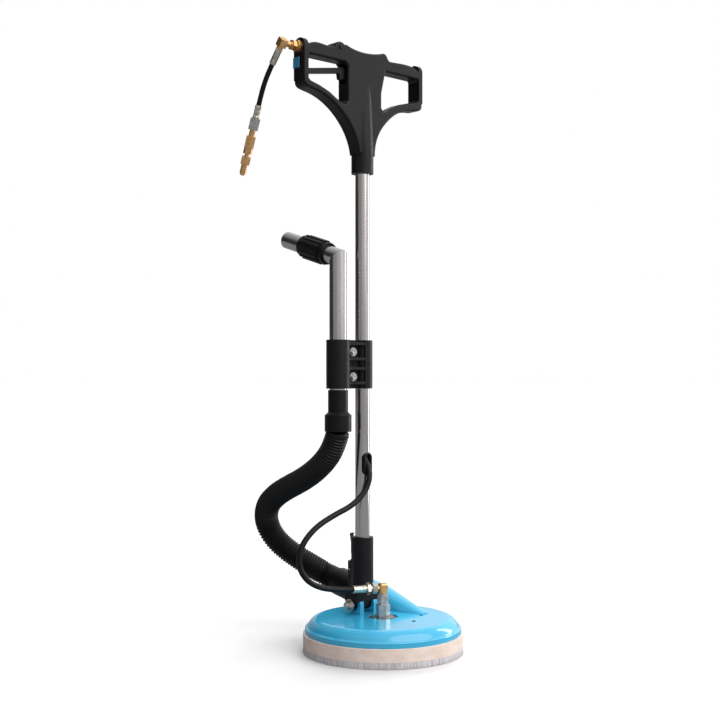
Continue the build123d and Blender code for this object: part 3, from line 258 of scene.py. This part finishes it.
paint(blue, "head_shell")
paint(cream, "brush_band")
paint(dark_rivet, "dome_rivets")
paint(alloy, "swivel_flange", "bearing_housing", "rotor_hub", "spray_arms")
paint(zinc, "flange_screws", "swivel_body", "hinge_bolt", "hinge_washer", "hinge_nut", "latch_pin",
      "latch_spring", "clamp_screws", "clamp_washers", "clamp_nuts", "trigger_pin",
      "valve_spring", "whip_nut", "rotor_nut", "shaft_bearings", "swivel_shaft")
paint(brass, "swivel_elbow", "spray_nozzles", "valve_body", "valve_stem", "inlet_adaptor", "inlet_nut",
      "inlet_elbow", "whip_adaptor", "coupler_ring", "coupler_plug", "handle_feed_tube")
paint(crimp, "hose_nut", "hose_stem", "hose_ferrule", "whip_ferrule_top", "whip_ferrule_low")
paint(dark_steel, "latch_bracket", "latch_lever", "handle_screws")
paint(rubber, "pole_water_hose", "pole_grommet")
paint(smooth_black, "port_cuff", "upper_cuff")
paint(black, "yoke_socket", "clamp_front", "clamp_rear", "handle_front", "handle_rear", "trigger",
      "relief_collar")
paint(steel, "pole", "vacuum_tube")
paint(tab_blue, "safety_tab")


# ------------------------------------------------------------ mesh helpers
ROUTE_STEPS = 48


def mesh_object(name, verts, faces, made, smooth=True):
    """A new object with one mesh and one material."""
    data = bpy.data.meshes.new(name)
    data.from_pydata([tuple(v) for v in verts], [], faces)
    data.update()
    if smooth:
        data.polygons.foreach_set("use_smooth", [True] * len(data.polygons))
    data.materials.append(made)
    obj = bpy.data.objects.new(name, data)
    bpy.context.collection.objects.link(obj)
    return obj


def add_nurbs(curve, points):
    """Put a clamped quadratic NURBS spline with these control points on a curve."""
    spline = curve.splines.new("NURBS")
    spline.points.add(len(points) - 1)
    for place, point in zip(spline.points, points):
        place.co = (*point, 1.0)
    spline.order_u = 3
    spline.use_endpoint_u = True


def route(points):
    """The smooth line of a NURBS spline with these control points, as a list of points."""
    curve = bpy.data.curves.new("route", "CURVE")
    curve.dimensions = "3D"
    curve.resolution_u = ROUTE_STEPS
    add_nurbs(curve, points)
    holder = bpy.data.objects.new("route", curve)
    line = bpy.data.meshes.new_from_object(holder)
    found = [v.co.copy() for v in line.vertices]
    bpy.data.objects.remove(holder)
    bpy.data.meshes.remove(line)
    return found


def even(points, pitch):
    """The same line with points at an even pitch; a short last step stays if it is over 0.3 of the pitch."""
    out, carried = [points[0].copy()], 0.0
    for a, b in zip(points, points[1:]):
        step = (b - a).length
        while step > 1e-9 and carried + step >= pitch:
            share = (pitch - carried) / step
            a = a.lerp(b, share)
            out.append(a.copy())
            step = (b - a).length
            carried = 0.0
        carried += step
    if (out[-1] - points[-1]).length > pitch * 0.3:
        out.append(points[-1].copy())
    return out


def ring_faces(rows, around):
    """The faces of a closed tube of rings: its wall, then its two end caps."""
    faces = []
    for i in range(rows - 1):
        for k in range(around):
            n = (k + 1) % around
            faces.append((i * around + k, i * around + n, (i + 1) * around + n, (i + 1) * around + k))
    faces.append(tuple(range(around))[::-1])
    faces.append(tuple(range((rows - 1) * around, rows * around)))
    return faces


def tube(name, line, radius_at, made, around):
    """A mesh tube on a line; radius_at(distance, total) gives its radius."""
    total = sum((b - a).length for a, b in zip(line, line[1:]))
    verts, gone = [], 0.0
    tangent = (line[1] - line[0]).normalized()
    side = tangent.orthogonal().normalized()
    for i, point in enumerate(line):
        if i:
            gone += (point - line[i - 1]).length
        ahead = (line[min(i + 1, len(line) - 1)] - line[max(i - 1, 0)]).normalized()
        side = (side - ahead * side.dot(ahead)).normalized()
        up = ahead.cross(side)
        r = radius_at(gone, total)
        for k in range(around):
            a = 2 * math.pi * k / around
            verts.append(point + side * (r * math.cos(a)) + up * (r * math.sin(a)))
    return mesh_object(name, verts, ring_faces(len(line), around), made)


def turned(name, start, direction, profile, made, around, relief):
    """A turned piece along a direction.

    profile is a list of (distance, radius), and relief(distance, angle) is how far the surface is pressed in.
    """
    d = Vector(direction).normalized()
    side = d.orthogonal().normalized()
    up = d.cross(side)
    start = Vector(start)
    verts = []
    for s, r in profile:
        for k in range(around):
            a = 2 * math.pi * k / around
            rr = r - relief(s, a)
            verts.append(start + d * s + side * (rr * math.cos(a)) + up * (rr * math.sin(a)))
    return mesh_object(name, verts, ring_faces(len(profile), around), made)


# ------------------------------------------------------------ hoses
# The control points are the same as the CAD routes', in metres.
POLE_Y = 0.066
TUBE_X = -0.073
SWIVEL_CENTRE = Vector((0, 0, 0.1375))
FEED_DIR = Vector((-0.89802, 0.44001, 0))
FEED_RADIUS = 0.00625
ferrule_tip = SWIVEL_CENTRE + FEED_DIR * 0.0686
beyond_tip = ferrule_tip + FEED_DIR * 0.046
feed_points = [
    tuple(ferrule_tip), tuple(beyond_tip), (-0.152, 0.066, 0.154), (-0.184, 0.068, 0.190),
    (-0.184, 0.064, 0.236), (-0.150, 0.058, 0.275), (-0.098, 0.052, 0.300), (-0.050, 0.044, 0.318),
    (-0.014, 0.038, 0.349), (0, 0.038, 0.389), (0, POLE_Y, 0.429), (0, POLE_Y, 0.480),
]
feed_line = even(route(feed_points), 0.0025)
feed = tube("pressure_hose_skin", feed_line, lambda s, total: FEED_RADIUS, rubber, 28)
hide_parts("pressure_hose")
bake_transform(feed)

# The vacuum hose, from the upper cuff down to the port cuff, which rises to the rear.
PORT_RISE = math.radians(11.0)
cuff_end = Vector((0.084, 0.236, 0.1134))
port_dir = Vector((0, math.cos(PORT_RISE), math.sin(PORT_RISE)))
hose_points = [
    (TUBE_X, POLE_Y, 0.480), (TUBE_X, 0.080, 0.446), (-0.075, 0.104, 0.416), (-0.076, 0.142, 0.388),
    (-0.075, 0.186, 0.366), (-0.072, 0.236, 0.347), (-0.067, 0.286, 0.326), (-0.058, 0.333, 0.297),
    (-0.045, 0.355, 0.256), (-0.027, 0.343, 0.214), (0.0, 0.316, 0.181), (0.034, 0.290, 0.153),
    tuple(cuff_end + port_dir * 0.034), tuple(cuff_end - port_dir * 0.0176),
]
hose_line = even(route(hose_points), 0.0010)
HOSE_SLIM, HOSE_SWELL = 0.0262, 0.0020
RIDGE_PITCH, RIDGE_DEPTH = 0.0066, 0.0030
UPPER_PLAIN, LOWER_PLAIN, PLAIN_DROP = 0.004, 0.012, 0.0012


def ridge(s, total):
    """Radius of the corrugated hose: rounded ridges with narrow grooves, slimmer at its upper end."""
    body = HOSE_SLIM + HOSE_SWELL * min(max((s / total - 0.05) / 0.5, 0.0), 1.0)
    if s < UPPER_PLAIN or s > total - LOWER_PLAIN:
        return body - PLAIN_DROP
    wave = 0.5 + 0.5 * math.cos(2 * math.pi * s / RIDGE_PITCH)
    return body - RIDGE_DEPTH * (1 - wave) ** 1.6


hose = tube("vacuum_hose_skin", hose_line, ridge, hose_black, 44)
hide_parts("vacuum_hose")
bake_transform(hose)

# The short inlet hose, which hangs from the elbow at the handle and leans to the rear.
WHIP_X = -0.231
WHIP_LEAN = math.radians(40)
WHIP_RADIUS = 0.0054
elbow_at = Vector((WHIP_X, POLE_Y, 1.302))
whip_dir = Vector((0, math.sin(WHIP_LEAN), -math.cos(WHIP_LEAN)))
whip_start = elbow_at + whip_dir * 0.050
whip_end = Vector((WHIP_X, 0.1455, 1.183))
low_dir = Vector((0, 6.5, -16)).normalized()
whip_points = [
    tuple(whip_start), tuple(whip_start + whip_dir * 0.024), (WHIP_X, 0.128, 1.223), (WHIP_X, 0.139, 1.199),
    tuple(whip_end),
]
whip_curve = bpy.data.curves.new("whip_hose_skin", "CURVE")
whip_curve.dimensions = "3D"
whip_curve.resolution_u = 24
whip_curve.bevel_depth = WHIP_RADIUS
whip_curve.bevel_resolution = 6
whip_curve.use_fill_caps = True
add_nurbs(whip_curve, whip_points)
whip_curve.materials.append(rubber)
whip = bpy.data.objects.new("whip_hose_skin", whip_curve)
bpy.context.collection.objects.link(whip)
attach(whip, "pole")
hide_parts("whip_hose")


# ------------------------------------------------------------ crimped ferrules on the hose ends
def ramp_up(value, start, width):
    """0 before start, 1 from start + width on, and a straight rise between them."""
    return min(max((value - start) / width, 0), 1)


def crimped(name, start, direction, length, radius, neck, node, body):
    """A pressed sleeve: plain collars at both ends and eight pressed flats between them."""
    rows, edge = 36, 0.0004
    profile = [(0.0, radius * 0.86), (edge, radius * 0.93)]
    for i in range(rows + 1):
        profile.append((0.001 + (length - 0.002) * i / rows, radius))
    profile += [(length - edge, radius * 0.93), (length, neck)]

    def relief(s, a):
        fade = 0.08 * length
        inner = ramp_up(s, 0.18 * length, fade) * ramp_up(-s, -0.86 * length, fade)
        ring = 0.0005 * math.exp(-((s - 0.10 * length) / 0.0012) ** 2)
        return inner * (0.0004 + 0.0009 * abs(math.sin(4 * a)) ** 0.6) + ring

    made = turned(name, start, direction, profile, crimp, 96, relief)
    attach(made, body)
    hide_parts(node)
    return made


sleeve_start = SWIVEL_CENTRE + FEED_DIR * 0.040
crimped("hose_sleeve", sleeve_start, FEED_DIR, 0.0286, 0.0088, 0.0068, "hose_ferrule", "head")
low_sleeve = crimped("whip_sleeve_low", whip_end, low_dir, 0.028, 0.0072, 0.0066, "whip_ferrule_low", "pole")

# ------------------------------------------------------------ bristle ring
# Each row of tufts: radius at the band, radius at the floor and number of tufts.
TUFT_ROWS = ((0.1741, 0.1752, 1300), (0.1728, 0.1734, 900), (0.1706, 0.1706, 700), (0.1684, 0.1678, 800))
TUFT_HALF, TUFT_THICK = 0.00042, 0.0004
CORE_FOOT, CORE_AROUND = 0.004, 180
top_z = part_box("bristles")[1].z
verts, faces = [], []


def blade(angle, r_top, r_foot, half, z_foot, lean):
    """One tuft: a slim tapered strip from the band to the floor."""
    base = len(verts)
    for z, r, turn, width in ((top_z, r_top, 0.0, half), (z_foot, r_foot, lean, half * 0.8)):
        a = angle + turn
        out = Vector((math.cos(a), math.sin(a), 0))
        side = Vector((-math.sin(a), math.cos(a), 0))
        for su, sr in ((-1, -1), (1, -1), (1, 1), (-1, 1)):
            verts.append(out * (r + sr * TUFT_THICK) + side * (su * width) + Vector((0, 0, z)))
    faces.extend([
        (base, base + 1, base + 5, base + 4), (base + 1, base + 2, base + 6, base + 5),
        (base + 2, base + 3, base + 7, base + 6), (base + 3, base, base + 4, base + 7),
        (base + 4, base + 5, base + 6, base + 7),
    ])


for r_top, r_foot, count in TUFT_ROWS:
    for i in range(count):
        angle = 2 * math.pi * (i + random.uniform(-0.3, 0.3)) / count
        uneven_foot = r_foot + random.uniform(-0.0004, 0.0003)
        half = TUFT_HALF + random.uniform(0, 0.0002)
        z_foot = random.uniform(0.0, 0.0012)
        blade(angle, r_top, uneven_foot, half, z_foot, random.uniform(-0.0030, 0.0030))

# A closed ring inside the tufts, so that no light passes between them.
core_base = len(verts)
for z, r in ((top_z, 0.1688), (CORE_FOOT, 0.1690), (CORE_FOOT, 0.1734), (top_z, 0.1738)):
    for k in range(CORE_AROUND):
        a = 2 * math.pi * k / CORE_AROUND
        verts.append(Vector((r * math.cos(a), r * math.sin(a), z)))
for row in range(4):
    for k in range(CORE_AROUND):
        n = (k + 1) % CORE_AROUND
        a, b = core_base + row * CORE_AROUND, core_base + ((row + 1) % 4) * CORE_AROUND
        faces.append((a + k, a + n, b + n, b + k))
bristles = mesh_object("bristle_ring", verts, faces, fibre, smooth=False)
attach(bristles, "head")
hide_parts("bristles")

# ------------------------------------------------------------ floor
FLOOR_HALF = 60
DULL_GREY = (0.22, 0.22, 0.23, 1)

floor_mat = material("floor_pale", lin(214, 214, 215), lin(217, 217, 218), (0.6, 0.7), mottle=0.8,
                     rough_scale=3)
floor_tree = floor_mat.node_tree
# In reflections the floor is a dull grey, as in a dim room; the camera sees it pale.
dull = floor_tree.nodes.new("ShaderNodeBsdfDiffuse")
dull.inputs["Color"].default_value = DULL_GREY
seen = floor_tree.nodes.new("ShaderNodeLightPath")
choose = floor_tree.nodes.new("ShaderNodeMixShader")
floor_tree.links.new(seen.outputs["Is Camera Ray"], choose.inputs["Fac"])
floor_tree.links.new(dull.outputs[0], choose.inputs[1])
floor_tree.links.new(floor_tree.nodes["Principled BSDF"].outputs[0], choose.inputs[2])
floor_tree.links.new(choose.outputs[0], floor_tree.nodes["Material Output"].inputs["Surface"])
floor_corners = [(x * FLOOR_HALF, y * FLOOR_HALF, 0) for x, y in ((-1, -1), (1, -1), (1, 1), (-1, 1))]
floor = mesh_object("floor", floor_corners, [(0, 1, 2, 3)], floor_mat, smooth=False)
